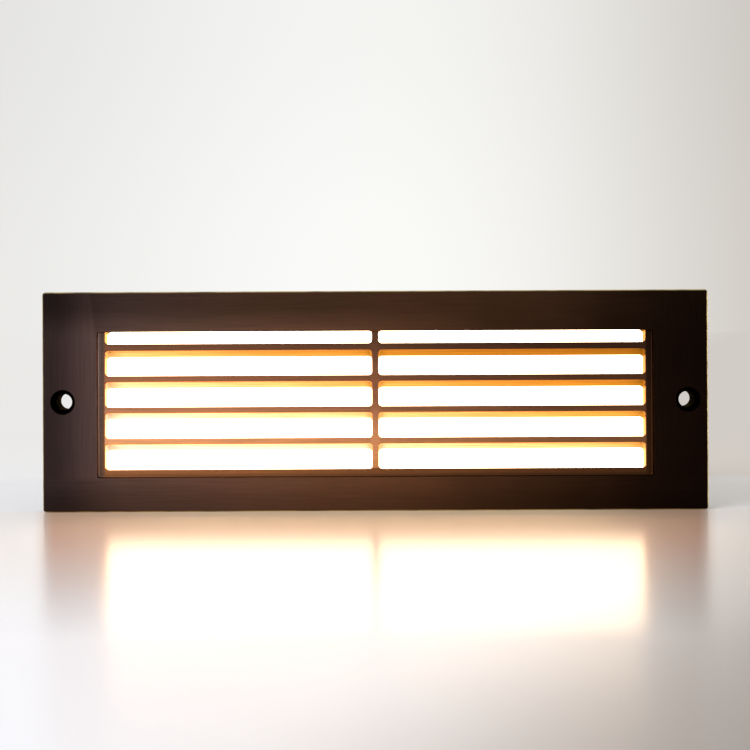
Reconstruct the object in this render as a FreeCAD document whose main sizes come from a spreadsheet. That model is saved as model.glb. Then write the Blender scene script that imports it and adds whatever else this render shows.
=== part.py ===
import FreeCAD, Part
import math
import os
import Sketcher
from FreeCAD import Placement, Rotation, Vector

# Louvred step light for an outdoor wall. X runs along the faceplate, Y into the wall, Z up.
# The origin is the middle of the faceplate's back, on the plane that bears on the wall.

doc = FreeCAD.newDocument("StepLight")
sheet = doc.addObject("Spreadsheet::Sheet", "Size")

dimensions = (
    # faceplate casting
    ("plate_width", 235.0),
    ("plate_height", 77.7),
    ("plate_thickness", 9.5),
    ("plate_corner_radius", 1.2),
    ("plate_edge_round", 0.7),
    ("frame_side_margin", 19.2),
    ("frame_top_margin", 14.2),
    ("frame_bottom_margin", 12.0),
    ("recess_depth", 2.4),
    ("recess_corner_radius", 0.8),
    ("recess_fillet", 0.6),
    ("ledge_width", 2.5),
    # louvres
    ("grille_thickness", 4.5),
    ("blade_rows", 4),
    ("blade_thickness", 2.3),
    ("blade_drop", 2.5),
    ("top_slot_height", 4.25),
    ("sill_height", 2.9),
    ("mullion_width", 2.4),
    ("slot_corner_radius", 1.2),
    ("slot_edge_round", 0.3),
    # wall screws
    ("wall_screw_spacing", 220.7),
    ("wall_screw_hole_radius", 2.8),
    ("counterbore_radius", 4.4),
    ("counterbore_depth", 2.4),
    # cored ends on the back of the faceplate
    ("core_depth", 4.8),
    ("core_rim", 3.0),
    ("core_corner_radius", 2.0),
    ("screw_boss_radius", 6.5),
    # lens and its gaskets
    ("lens_thickness", 4.0),
    ("lens_corner_radius", 2.5),
    ("lens_clearance", 0.3),
    ("gasket_thickness", 1.5),
    ("gasket_band", 2.2),
    ("gasket_setback", 0.5),
    # screws that join the housing to the faceplate
    ("body_screw_spacing", 80.0),
    ("body_screw_wall", 1.3),
    ("body_screw_head_room", 0.4),
    ("flange_edge", 2.7),
    ("end_edge", 2.7),
    ("flange_thickness", 3.0),
    ("flange_corner_radius", 4.0),
    # screws, shared sizes
    ("thread_radius", 1.5),
    ("thread_clearance", 0.05),
    ("screw_passage", 0.2),
    ("screw_head_radius", 2.75),
    ("screw_head_height", 1.9),
    ("screw_chamfer", 0.3),
    ("socket_radius", 1.3),
    ("socket_depth", 1.2),
    ("thread_end_room", 1.0),
    ("body_screw_length", 10.0),
    ("carrier_screw_length", 8.0),
    ("board_screw_length", 5.0),
    ("wall_fixed_screw_bite", 3.5),
    # housing
    ("housing_inner_width", 189.0),
    ("housing_inner_height", 51.0),
    ("housing_wall", 2.5),
    ("housing_back_wall", 5.0),
    ("housing_corner_radius", 5.0),
    ("housing_depth", 62.0),
    ("housing_back_round", 2.0),
    ("post_radius", 4.0),
    ("post_side_room", 6.5),
    ("post_level", 19.0),
    # plate that carries the LED board
    ("carrier_depth", 34.0),
    ("carrier_thickness", 2.0),
    ("carrier_room", 2.5),
    ("carrier_corner_radius", 3.0),
    # LED board
    ("board_width", 148.0),
    ("board_height", 40.0),
    ("board_thickness", 1.6),
    ("board_corner_radius", 2.0),
    ("board_screw_inset", 4.0),
    ("pad_thickness", 0.5),
    ("led_columns", 12),
    ("led_rows", 2),
    ("led_pitch", 12.0),
    ("led_row_spacing", 18.0),
    ("led_length", 3.5),
    ("led_width", 2.8),
    ("led_height", 0.8),
    ("led_window_wall", 0.4),
    ("led_window_depth", 0.2),
    ("led_corner_radius", 0.2),
    ("connector_length", 7.0),
    ("connector_width", 7.0),
    ("connector_height", 4.6),
    ("connector_inset", 1.0),
    ("connector_corner_radius", 0.4),
    ("connector_key_radius", 0.65),
    ("connector_key_depth", 1.5),
    # reflector
    ("reflector_wall", 1.2),
    ("reflector_room", 0.3),
    ("reflector_board_room", 1.2),
    # driver
    ("driver_length", 80.0),
    ("driver_width", 36.0),
    ("driver_height", 17.0),
    ("driver_wall", 1.5),
    ("driver_middle", -26.0),
    ("driver_corner_radius", 1.5),
    ("driver_board_thickness", 1.6),
    ("potting_setback", 0.8),
    ("tab_length", 9.0),
    ("tab_width", 10.0),
    ("tab_thickness", 2.5),
    ("tab_level", 10.0),
    # terminal block
    ("terminal_middle", 55.0),
    ("terminal_length", 16.0),
    ("terminal_pitch", 9.0),
    ("terminal_poles", 3),
    ("terminal_base_height", 8.0),
    ("terminal_tower_height", 5.0),
    ("terminal_tower_length", 10.0),
    ("terminal_tower_width", 7.0),
    ("terminal_screw_radius", 1.6),
    ("terminal_screw_length", 5.0),
    ("terminal_screw_sink", 1.0),
    ("terminal_slot_width", 0.6),
    ("terminal_slot_depth", 0.8),
    ("terminal_ear", 7.0),
    ("terminal_ear_height", 3.0),
    ("terminal_ear_overlap", 1.0),
    ("terminal_entry_depth", 3.0),
    ("terminal_corner_radius", 0.6),
    # earth point
    ("earth_x", 32.0),
    ("earth_level", 17.0),
    ("earth_boss_radius", 4.0),
    ("earth_boss_height", 1.5),
    ("ring_radius", 3.6),
    ("ring_thickness", 0.8),
    ("barrel_length", 5.0),
    ("barrel_radius", 1.5),
    # leads
    ("lead_radius", 0.8),
    ("led_lead_spread", 1.4),
    ("led_lead_level", 48.0),
    ("wiring_height", 3.5),
    ("lead_bend", 2.4),
    ("earth_lead_bend", 1.9),
    ("lead_end_room", 0.1),
    ("driver_lead_offset", 3.0),
    ("grommet_offset", 4.6),
    ("grommet_bore_radius", 2.5),
    ("grommet_wall", 0.8),
    ("grommet_lip", 0.8),
    ("grommet_lip_thickness", 1.0),
    # cable gland
    ("gland_x", 80.0),
    ("gland_thread_radius", 8.0),
    ("gland_thread_room", 0.1),
    ("gland_thread_inside", 6.0),
    ("gland_hex_radius", 11.5),
    ("gland_hex_length", 6.0),
    ("gland_collet_radius", 7.2),
    ("gland_collet_length", 8.0),
    ("gland_bore_radius", 5.5),
    ("gland_washer_thickness", 1.5),
    ("gland_washer_radius", 11.0),
    ("locknut_thickness", 4.5),
    ("seal_bore_radius", 3.75),
    ("seal_length", 9.0),
    ("gland_nut_length", 11.0),
    ("gland_nut_gap", 0.5),
    ("gland_nut_face", 2.0),
    ("gland_nut_mouth_radius", 4.5),
    ("gland_nut_chamfer", 1.5),
    ("gland_nut_cone_reach", 3.0),
)

for row, (alias, value) in enumerate(dimensions, 1):
    sheet.set(f"A{row}", alias)
    sheet.set(f"B{row}", str(value))
    sheet.setAlias(f"B{row}", alias)
doc.recompute()


def number(expression):
    # The value of an expression on the sheet.
    return float(sheet.evalExpression(expression))


# Levels along Y, from the front to the back.
grille_front = "(Size.recess_depth - Size.plate_thickness)"
grille_rear = f"({grille_front} + Size.grille_thickness)"
lens_front = f"({grille_rear} + Size.gasket_thickness)"
lens_rear = f"({lens_front} + Size.lens_thickness)"
seat_face = f"({lens_rear} + Size.gasket_thickness)"
flange_rear = f"({seat_face} + Size.flange_thickness)"
back_inside = "(Size.housing_depth - Size.housing_back_wall)"
carrier_front = "(Size.carrier_depth - Size.carrier_thickness)"
board_rear = f"({carrier_front} - Size.pad_thickness)"
board_front = f"({board_rear} - Size.board_thickness)"

# The recess, and everything behind it, is centred a little below the middle of the plate.
recess_left = "(Size.frame_side_margin - Size.plate_width / 2)"
recess_right = "(Size.plate_width / 2 - Size.frame_side_margin)"
recess_top = "(Size.plate_height / 2 - Size.frame_top_margin)"
recess_bottom = "(Size.frame_bottom_margin - Size.plate_height / 2)"
middle_level = "((Size.frame_bottom_margin - Size.frame_top_margin) / 2)"
window_half_width = f"({recess_right} - Size.ledge_width)"
slot_slope = "Size.blade_drop / Size.grille_thickness"

# Below the short top slot, the blades and slots share out the recess down to its sill.
sill_level = f"({recess_bottom} + Size.sill_height)"
top_blade_top = f"({recess_top} - Size.top_slot_height)"
top_blade_bottom = f"({top_blade_top} - Size.blade_thickness)"
blade_pitch = f"(({top_blade_top} - {sill_level}) / Size.blade_rows)"

# The gasket clears the slots where they open at the back, and the lens is as large as it.
slot_low_point = f"({sill_level} - Size.blade_drop)"
gasket_inner_width = f"(2 * ({window_half_width} + Size.gasket_setback))"
gasket_inner_height = f"(2 * ({middle_level} - {slot_low_point} + Size.gasket_setback))"
lens_width = f"({gasket_inner_width} + 2 * Size.gasket_band)"
lens_height = f"({gasket_inner_height} + 2 * Size.gasket_band)"
pocket_width = f"({lens_width} + 2 * Size.lens_clearance)"
pocket_height = f"({lens_height} + 2 * Size.lens_clearance)"

# The housing's screws clear the lens pocket in front and the housing's walls behind.
pocket_screw_level = f"{pocket_height} / 2 + Size.body_screw_wall + Size.thread_radius"
housing_half_height = "(Size.housing_inner_height / 2 + Size.housing_wall)"
head_screw_level = f"{housing_half_height} + Size.screw_head_radius + Size.body_screw_head_room"
body_screw_level = f"max({pocket_screw_level}; {head_screw_level})"
seat_width = f"({pocket_width} + 2 * Size.end_edge)"
seat_height = f"(2 * ({body_screw_level} + Size.flange_edge))"

post_x = "(Size.housing_inner_width / 2 - Size.post_side_room)"
board_screw_x = "(Size.board_width / 2 - Size.board_screw_inset)"
board_screw_level = "(Size.board_height / 2 - Size.board_screw_inset)"
thread_hole_radius = "(Size.thread_radius + Size.thread_clearance)"
screw_passage_radius = "(Size.thread_radius + Size.screw_passage)"
board_edge = "(Size.board_width / 2)"
grommet_x = f"(-{board_edge} - Size.grommet_offset)"
grommet_seat = "(Size.grommet_bore_radius + Size.grommet_wall)"
grommet_lip_radius = f"({grommet_seat} + Size.grommet_lip)"


def make_body(label):
    body = doc.addObject("PartDesign::Body", label)
    body.Label = label
    return body


def place(part, x="0", y="0", z="0"):
    for axis, expression in (("x", x), ("y", y), ("z", z)):
        part.setExpression(f"Placement.Base.{axis}", expression)


def make_sketch(body, name, role="XZ_Plane", level="0"):
    # A sketch on one of the body's origin planes, lifted to a level on that plane's own axis.
    sketch = body.newObject("Sketcher::SketchObject", f"{body.Name}_{name}")
    plane = next(p for p in body.Origin.OriginFeatures if p.Role == role)
    sketch.AttachmentSupport = [(plane, "")]
    sketch.MapMode = "FlatFace"
    # The XZ plane looks towards the front, so a level into the wall is negative on its axis.
    sign = "-" if role == "XZ_Plane" else ""
    sketch.setExpression("AttachmentOffset.Base.z", f"{sign}({level})")
    return sketch


def fix_point(sketch, geometry, end, x, y):
    for kind, expression in (("DistanceX", x), ("DistanceY", y)):
        fixed = sketch.addConstraint(Sketcher.Constraint(kind, geometry, end, number(expression)))
        sketch.setExpression(f"Constraints[{fixed}]", expression)


def draw_polygon(sketch, points):
    # A closed outline of straight lines through points given as pairs of expressions.
    corners = [Vector(number(x), number(y), 0) for x, y in points]
    first = sketch.GeometryCount
    for index, corner in enumerate(corners):
        following = corners[(index + 1) % len(corners)]
        sketch.addGeometry(Part.LineSegment(corner, following))
    for index, (x, y) in enumerate(points):
        following = first + (index + 1) % len(points)
        sketch.addConstraint(Sketcher.Constraint("Coincident", first + index, 2, following, 1))
        fix_point(sketch, first + index, 1, x, y)


def hexagon_points(radius):
    return [(f"{radius} * cos({60 * corner})", f"{radius} * sin({60 * corner})") for corner in range(6)]


def draw_circle(sketch, x, y, radius):
    centre = Vector(number(x), number(y), 0)
    ring = sketch.addGeometry(Part.Circle(centre, Vector(0, 0, 1), number(radius)))
    fix_point(sketch, ring, 3, x, y)
    sized = sketch.addConstraint(Sketcher.Constraint("Radius", ring, number(radius)))
    sketch.setExpression(f"Constraints[{sized}]", radius)


def draw_rounded(sketch, left, right, bottom, top, radius):
    # A rectangle with rounded corners, held by its four sides and one radius.
    x0, x1, y0, y1, r = (number(e) for e in (left, right, bottom, top, radius))
    first = sketch.GeometryCount
    sides = (
        ((x0 + r, y0), (x1 - r, y0)),
        ((x1, y0 + r), (x1, y1 - r)),
        ((x1 - r, y1), (x0 + r, y1)),
        ((x0, y1 - r), (x0, y0 + r)),
    )
    for start, end in sides:
        sketch.addGeometry(Part.LineSegment(Vector(*start, 0), Vector(*end, 0)))
    centres = ((x1 - r, y0 + r), (x1 - r, y1 - r), (x0 + r, y1 - r), (x0 + r, y0 + r))
    for quarter, centre in enumerate(centres):
        circle = Part.Circle(Vector(*centre, 0), Vector(0, 0, 1), r)
        start_angle = math.radians(90 * quarter - 90)
        sketch.addGeometry(Part.ArcOfCircle(circle, start_angle, start_angle + math.pi / 2))
    for side in range(4):
        arc = first + 4 + side
        following = first + (side + 1) % 4
        sketch.addConstraint(Sketcher.Constraint("Tangent", first + side, 2, arc, 1))
        sketch.addConstraint(Sketcher.Constraint("Tangent", arc, 2, following, 1))
        level = "Horizontal" if side % 2 == 0 else "Vertical"
        sketch.addConstraint(Sketcher.Constraint(level, first + side))
    for arc in range(5, 8):
        sketch.addConstraint(Sketcher.Constraint("Equal", first + 4, first + arc))
    held = (
        ("DistanceY", first, 1, bottom),
        ("DistanceX", first + 1, 1, right),
        ("DistanceY", first + 2, 1, top),
        ("DistanceX", first + 3, 1, left),
    )
    for kind, line, end, expression in held:
        fixed = sketch.addConstraint(Sketcher.Constraint(kind, line, end, number(expression)))
        sketch.setExpression(f"Constraints[{fixed}]", expression)
    sized = sketch.addConstraint(Sketcher.Constraint("Radius", first + 4, r))
    sketch.setExpression(f"Constraints[{sized}]", radius)


def draw_centred(sketch, width, height, radius):
    draw_rounded(sketch, f"-{width} / 2", f"{width} / 2", f"-{height} / 2", f"{height} / 2", radius)


def extrude(body, sketch, length, kind="Pad", inwards=True):
    # A pad or pocket from the sketch. Inwards is into the wall, along +Y for an XZ sketch.
    feature = body.newObject(f"PartDesign::{kind}", f"{sketch.Name}_{kind}")
    feature.Profile = sketch
    feature.setExpression("Length", length)
    # A pad grows along the sketch's axis and a pocket cuts against it.
    feature.Reversed = inwards if kind == "Pad" else not inwards
    sketch.Visibility = False
    return feature


def cut(body, sketch, length, inwards=True):
    return extrude(body, sketch, length, "Pocket", inwards)


def round_edges(body, feature, radius, chosen, kind="Fillet"):
    # Fillets or chamfers the edges of a feature that the function chosen accepts.
    doc.recompute()
    names = [f"Edge{i}" for i, edge in enumerate(feature.Shape.Edges, 1) if chosen(edge)]
    dressed = body.newObject(f"PartDesign::{kind}", f"{feature.Name}_{kind}")
    dressed.Base = (feature, names)
    dressed.setExpression("Radius" if kind == "Fillet" else "Size", radius)
    return dressed


tolerance = 0.001


def lies_at(edge, axis, level):
    # True if the whole edge lies at a level on an axis, 0 for X, 1 for Y and 2 for Z.
    return all(abs(vertex.Point[axis] - level) < tolerance for vertex in edge.Vertexes)


def revolve(body, sketch, kind="Revolution", axis="V_Axis"):
    feature = body.newObject(f"PartDesign::{kind}", f"{sketch.Name}_{kind}")
    feature.Profile = sketch
    feature.ReferenceAxis = (sketch, [axis])
    feature.Angle = 360
    return feature


def make_sheet_part(label, y, width, height, radius, thickness, holes=(), opening=None):
    # A flat piece centred behind the recess, with round holes and one rounded opening.
    body = make_body(label)
    outline = make_sketch(body, "outline")
    draw_centred(outline, width, height, radius)
    if opening:
        draw_centred(outline, *opening)
    for x, z, hole_radius in holes:
        draw_circle(outline, x, z, hole_radius)
    extrude(body, outline, thickness)
    place(body, y=y, z=middle_level)
    return body


def make_group(label, master, spots, turn=Rotation()):
    # One node of identical pieces: links to a master piece, each at its own place.
    links = []
    for index, spot in enumerate(spots, 1):
        link = doc.addObject("App::Link", f"{label}_{index}")
        link.LinkedObject = master
        link.Placement = Placement(Vector(), turn)
        place(link, *spot)
        links.append(link)
    group = doc.addObject("Part::Compound", label)
    group.Label = label
    group.Links = links
    return group


def make_screw(label, length):
    # A socket-head screw along Y: the head in front of Y = 0, the thread behind it.
    body = make_body(label)
    head_radius = "Size.screw_head_radius"
    head_height = "Size.screw_head_height"
    profile = make_sketch(body, "profile", "XY_Plane")
    draw_polygon(profile, (
        ("0", f"-{head_height}"),
        (f"{head_radius} - Size.screw_chamfer", f"-{head_height}"),
        (head_radius, f"Size.screw_chamfer - {head_height}"),
        (head_radius, "0"),
        ("Size.thread_radius", "0"),
        ("Size.thread_radius", f"{length} - Size.screw_chamfer"),
        ("Size.thread_radius - Size.screw_chamfer", length),
        ("0", length),
    ))
    revolve(body, profile)
    socket = make_sketch(body, "socket", level=f"-{head_height}")
    draw_polygon(socket, hexagon_points("Size.socket_radius"))
    cut(body, socket, "Size.socket_depth")
    return body


def mirrored_spots(x, y, z):
    # The four places at plus and minus x and z about the middle of the light.
    return [(f"{a}{x}", y, f"{middle_level} {b} {z}") for a in ("", "-") for b in ("+", "-")]


# ---- faceplate ----

def make_faceplate():
    body = make_body("faceplate")
    outline = make_sketch(body, "outline")
    draw_centred(outline, "Size.plate_width", "Size.plate_height", "Size.plate_corner_radius")
    plate = extrude(body, outline, "Size.plate_thickness", inwards=False)
    front = -number("Size.plate_thickness")
    round_edges(body, plate, "Size.plate_edge_round", lambda edge: lies_at(edge, 1, front))

    # Raised seat on the back, which the housing's flange is screwed to.
    seat = make_sketch(body, "seat")
    draw_rounded(
        seat,
        f"-{seat_width} / 2",
        f"{seat_width} / 2",
        f"{middle_level} - {seat_height} / 2",
        f"{middle_level} + {seat_height} / 2",
        "Size.flange_corner_radius",
    )
    extrude(body, seat, seat_face)

    # Cored ends, with a boss round each wall screw.
    for side, sign in (("left", "-"), ("right", "")):
        inner = f"{sign}({seat_width} / 2 + Size.core_rim / 2)"
        outer = f"{sign}(Size.plate_width / 2 - Size.core_rim)"
        core = make_sketch(body, f"core_{side}")
        ends = (outer, inner) if side == "left" else (inner, outer)
        draw_rounded(
            core,
            *ends,
            "Size.core_rim - Size.plate_height / 2",
            "Size.plate_height / 2 - Size.core_rim",
            "Size.core_corner_radius",
        )
        cut(body, core, "Size.core_depth", inwards=False)
    bosses = make_sketch(body, "bosses")
    for sign in ("-", ""):
        draw_circle(bosses, f"{sign}Size.wall_screw_spacing / 2", "0", "Size.screw_boss_radius")
    extrude(body, bosses, "Size.core_depth", inwards=False)

    # The recess in front, with the radius that a casting has at its foot.
    recess = make_sketch(body, "recess", level="-Size.plate_thickness")
    draw_rounded(recess, recess_left, recess_right, recess_bottom, recess_top, "Size.recess_corner_radius")
    recessed = cut(body, recess, "Size.recess_depth")
    foot = number(grille_front)
    round_edges(body, recessed, "Size.recess_fillet", lambda edge: lies_at(edge, 1, foot))

    # The pocket for the lens and gaskets.
    pocket = make_sketch(body, "lens_pocket", level=seat_face)
    draw_rounded(
        pocket,
        f"-{pocket_width} / 2",
        f"{pocket_width} / 2",
        f"{middle_level} - {pocket_height} / 2",
        f"{middle_level} + {pocket_height} / 2",
        "Size.lens_corner_radius + Size.lens_clearance",
    )
    cut(body, pocket, f"{seat_face} - {grille_rear}", inwards=False)

    # Slots slant down towards the back, which leaves the blades between them.
    def cut_slots(name, bottom, top, lead="0"):
        slots = make_sketch(body, name, level=f"{grille_front} - {lead}")
        rise = f"{lead} * {slot_slope}"
        for ends in (
            (f"-{window_half_width}", "-Size.mullion_width / 2"),
            ("Size.mullion_width / 2", window_half_width),
        ):
            draw_rounded(slots, *ends, f"{bottom} + {rise}", f"{top} + {rise}", "Size.slot_corner_radius")
        slanted = cut(body, slots, f"Size.grille_thickness + {lead}")
        slanted.UseCustomVector = True
        slanted.AlongSketchNormal = True
        slanted.Direction = FreeCAD.Vector(0, 1, 0)
        slanted.setExpression("Direction.y", "Size.grille_thickness")
        slanted.setExpression("Direction.z", "-Size.blade_drop")
        return slanted

    # The top slot opens behind the frame's edge, so it shows shorter than the rest. It starts
    # ahead of the louvres' front, and leaves no lip of the recess's foot hanging in the slot.
    cut_slots("top_slot", top_blade_top, f"{recess_top} + Size.blade_drop", "Size.recess_fillet")
    row = cut_slots("slot_row", f"{top_blade_top} - {blade_pitch}", top_blade_bottom)
    rows = body.newObject("PartDesign::LinearPattern", "faceplate_slot_rows")
    rows.Originals = [row]
    rows.Direction = (row.Profile[0], ["V_Axis"])
    rows.Reversed = True
    rows.Mode = "Spacing"
    rows.setExpression("Offset", blade_pitch)
    rows.setExpression("Occurrences", "Size.blade_rows")
    body.Tip = rows

    # The slots below the top one have rounded front edges, as cast.
    highest = number(top_blade_bottom)

    def is_slot_edge(edge):
        inside = all(abs(vertex.X) < number(window_half_width) for vertex in edge.Vertexes)
        return inside and lies_at(edge, 1, foot) and edge.BoundBox.ZMax < highest + tolerance

    round_edges(body, rows, "Size.slot_edge_round", is_slot_edge)

    # Wall screw holes, counterbored from the front.
    through = make_sketch(body, "wall_screw_holes", level="-Size.plate_thickness")
    bores = make_sketch(body, "counterbores", level="-Size.plate_thickness")
    for sign in ("-", ""):
        draw_circle(through, f"{sign}Size.wall_screw_spacing / 2", "0", "Size.wall_screw_hole_radius")
        draw_circle(bores, f"{sign}Size.wall_screw_spacing / 2", "0", "Size.counterbore_radius")
    cut(body, through, "Size.plate_thickness")
    cut(body, bores, "Size.counterbore_depth")

    # Threaded holes in the seat.
    threads = make_sketch(body, "threads", level=seat_face)
    for x in ("-Size.body_screw_spacing", "0", "Size.body_screw_spacing"):
        for sign in ("+", "-"):
            draw_circle(threads, x, f"{middle_level} {sign} {body_screw_level}", thread_hole_radius)
    reach = "Size.body_screw_length - Size.flange_thickness + Size.thread_end_room"
    cut(body, threads, reach, inwards=False)
    return body


faceplate = make_faceplate()


# ---- lens and gaskets ----

lens_shape = (lens_width, lens_height, "Size.lens_corner_radius")
lens = make_sheet_part("lens", lens_front, *lens_shape, "Size.lens_thickness")
gasket_opening = (gasket_inner_width, gasket_inner_height, "Size.lens_corner_radius")
gaskets = [
    make_sheet_part(label, level, *lens_shape, "Size.gasket_thickness", opening=gasket_opening)
    for label, level in (("front_gasket", grille_rear), ("rear_gasket", lens_rear))
]


# ---- housing ----

def make_housing():
    # Modelled from the flange's front face, and placed on the seat.
    body = make_body("housing")
    flange = make_sketch(body, "flange")
    draw_centred(flange, seat_width, seat_height, "Size.flange_corner_radius")
    extrude(body, flange, "Size.flange_thickness")
    box = make_sketch(body, "box")
    outer_width = "(Size.housing_inner_width + 2 * Size.housing_wall)"
    draw_centred(box, outer_width, f"(2 * {housing_half_height})", "Size.housing_corner_radius")
    walls = extrude(body, box, f"Size.housing_depth - {seat_face}")
    back = number(f"Size.housing_depth - {seat_face}")
    round_edges(body, walls, "Size.housing_back_round", lambda edge: lies_at(edge, 1, back))
    cavity = make_sketch(body, "cavity")
    inner_radius = "Size.housing_corner_radius - Size.housing_wall"
    draw_centred(cavity, "Size.housing_inner_width", "Size.housing_inner_height", inner_radius)
    cut(body, cavity, f"{back_inside} - {seat_face}")

    # Posts for the carrier plate and the boss of the earth screw, standing on the back wall.
    floor = f"{back_inside} - {seat_face}"
    posts = make_sketch(body, "posts", level=floor)
    post_spots = [(f"{a}{post_x}", f"{b}Size.post_level") for a in ("", "-") for b in ("", "-")]
    for x, z in post_spots:
        draw_circle(posts, x, z, "Size.post_radius")
    extrude(body, posts, f"{back_inside} - Size.carrier_depth", inwards=False)
    boss = make_sketch(body, "earth_boss", level=floor)
    draw_circle(boss, "Size.earth_x", "Size.earth_level", "Size.earth_boss_radius")
    extrude(body, boss, "Size.earth_boss_height", inwards=False)

    # Holes: through the flange, into the posts, into the back wall and for the gland.
    passages = make_sketch(body, "flange_holes")
    for x in ("-Size.body_screw_spacing", "0", "Size.body_screw_spacing"):
        for sign in ("", "-"):
            draw_circle(passages, x, f"{sign}{body_screw_level}", screw_passage_radius)
    cut(body, passages, "Size.flange_thickness")
    threads = make_sketch(body, "post_threads", level=f"Size.carrier_depth - {seat_face}")
    for x, z in post_spots:
        draw_circle(threads, x, z, thread_hole_radius)
    cut(body, threads, "Size.carrier_screw_length - Size.carrier_thickness + Size.thread_end_room")
    blind = make_sketch(body, "back_threads", level=floor)
    for x, z in driver_screw_spots + [terminal_screw_spot]:
        draw_circle(blind, x, z, thread_hole_radius)
    cut(body, blind, "Size.wall_fixed_screw_bite + Size.thread_end_room / 2")
    earth = make_sketch(body, "earth_thread", level=f"{floor} - Size.earth_boss_height")
    draw_circle(earth, "Size.earth_x", "Size.earth_level", thread_hole_radius)
    cut(body, earth, "Size.earth_boss_height + Size.wall_fixed_screw_bite")
    gland_hole = make_sketch(body, "gland_hole", level=floor)
    draw_circle(gland_hole, "Size.gland_x", "0", "Size.gland_thread_radius + Size.gland_thread_room")
    cut(body, gland_hole, "Size.housing_back_wall")
    place(body, y=seat_face, z=middle_level)
    return body


driver_left = "(Size.driver_middle - Size.driver_length / 2)"
driver_right = "(Size.driver_middle + Size.driver_length / 2)"
driver_screw_spots = [
    (f"({driver_left} - Size.tab_length / 2)", "(-Size.tab_level)"),
    (f"({driver_right} + Size.tab_length / 2)", "Size.tab_level"),
]
terminal_width = "(Size.terminal_poles * Size.terminal_pitch)"
terminal_screw_spot = ("Size.terminal_middle", f"(-{terminal_width} / 2 - Size.terminal_ear / 2)")
housing = make_housing()

body_screw = make_screw("body_screw_master", "Size.body_screw_length")
body_screw_spots = [
    (x, flange_rear, f"{middle_level} {sign} {body_screw_level}")
    for x in ("-Size.body_screw_spacing", "0", "Size.body_screw_spacing")
    for sign in ("+", "-")
]
half_turn = Rotation(Vector(0, 0, 1), 180)
body_screws = make_group("body_screws", body_screw, body_screw_spots, half_turn)


# ---- reflector ----

def make_reflector():
    # A tapered liner from the carrier plate up to the mouth of the housing.
    body = make_body("reflector")
    mouth = f"({seat_face} + Size.reflector_room)"
    room = "2 * Size.reflector_room"
    outer = (f"(Size.housing_inner_width - {room})", f"(Size.housing_inner_height - {room})")
    inner = tuple(f"({side} - 2 * Size.reflector_wall)" for side in outer)
    # At the back it goes round the board, and round the grommet beside it.
    rear_inner = (
        f"(2 * ({grommet_lip_radius} + Size.reflector_room - {grommet_x}))",
        "(Size.board_height + 2 * Size.reflector_board_room)",
    )
    rear = tuple(f"({side} + 2 * Size.reflector_wall)" for side in rear_inner)
    length = f"({carrier_front} - {mouth})"
    corner = "(Size.housing_corner_radius - Size.housing_wall)"
    inner_corner = f"({corner} - Size.reflector_wall / 2)"
    for kind, near, far, radius in (
        ("AdditiveLoft", outer, rear, corner),
        ("SubtractiveLoft", inner, rear_inner, inner_corner),
    ):
        front = make_sketch(body, f"{kind}_front")
        draw_centred(front, *near, radius)
        back = make_sketch(body, f"{kind}_back", level=length)
        draw_centred(back, *far, radius)
        loft = body.newObject(f"PartDesign::{kind}", f"reflector_{kind}")
        loft.Profile = front
        loft.Sections = [back]
        loft.Ruled = True
        front.Visibility = False
        back.Visibility = False
    place(body, y=mouth, z=middle_level)
    return body


reflector = make_reflector()


# ---- LED engine ----

carrier_width = "(Size.housing_inner_width - 2 * Size.carrier_room)"
carrier_height = "(Size.housing_inner_height - 2 * Size.carrier_room)"


def four_holes(x, z, radius):
    return [(f"{a}{x}", f"{b}{z}", radius) for a in ("", "-") for b in ("", "-")]


post_holes = four_holes(post_x, "Size.post_level", screw_passage_radius)
carrier_board_holes = four_holes(board_screw_x, board_screw_level, thread_hole_radius)
board_passages = four_holes(board_screw_x, board_screw_level, screw_passage_radius)

carrier_plate = make_sheet_part(
    "carrier_plate",
    carrier_front,
    carrier_width,
    carrier_height,
    "Size.carrier_corner_radius",
    "Size.carrier_thickness",
    holes=post_holes + carrier_board_holes + [(grommet_x, "0", grommet_seat)],
)
board_shape = ("Size.board_width", "Size.board_height", "Size.board_corner_radius")
thermal_pad = make_sheet_part("thermal_pad", board_rear, *board_shape, "Size.pad_thickness", board_passages)
led_board = make_sheet_part("led_board", board_front, *board_shape, "Size.board_thickness", board_passages)

carrier_screw = make_screw("carrier_screw_master", "Size.carrier_screw_length")
carrier_screw_spots = mirrored_spots(post_x, carrier_front, "Size.post_level")
carrier_screws = make_group("carrier_screws", carrier_screw, carrier_screw_spots)
board_screw = make_screw("board_screw_master", "Size.board_screw_length")
board_screw_spots = mirrored_spots(board_screw_x, board_front, board_screw_level)
led_board_screws = make_group("led_board_screws", board_screw, board_screw_spots)


def make_led():
    # One LED package, standing forward of the board, with its sunk phosphor window.
    body = make_body("led_master")
    outline = make_sketch(body, "outline")
    draw_centred(outline, "Size.led_length", "Size.led_width", "Size.led_corner_radius")
    extrude(body, outline, "Size.led_height", inwards=False)
    window = make_sketch(body, "window", level="-Size.led_height")
    length = "(Size.led_length - 2 * Size.led_window_wall)"
    width = "(Size.led_width - 2 * Size.led_window_wall)"
    draw_centred(window, length, width, "Size.led_corner_radius")
    cut(body, window, "Size.led_window_depth")
    return body


columns = int(number("Size.led_columns"))
rows = int(number("Size.led_rows"))
led_spots = [
    (
        f"({column} - (Size.led_columns - 1) / 2) * Size.led_pitch",
        board_front,
        f"{middle_level} + ({row} - (Size.led_rows - 1) / 2) * Size.led_row_spacing",
    )
    for row in range(rows)
    for column in range(columns)
]
led_packages = make_group("led_packages", make_led(), led_spots)


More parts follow.
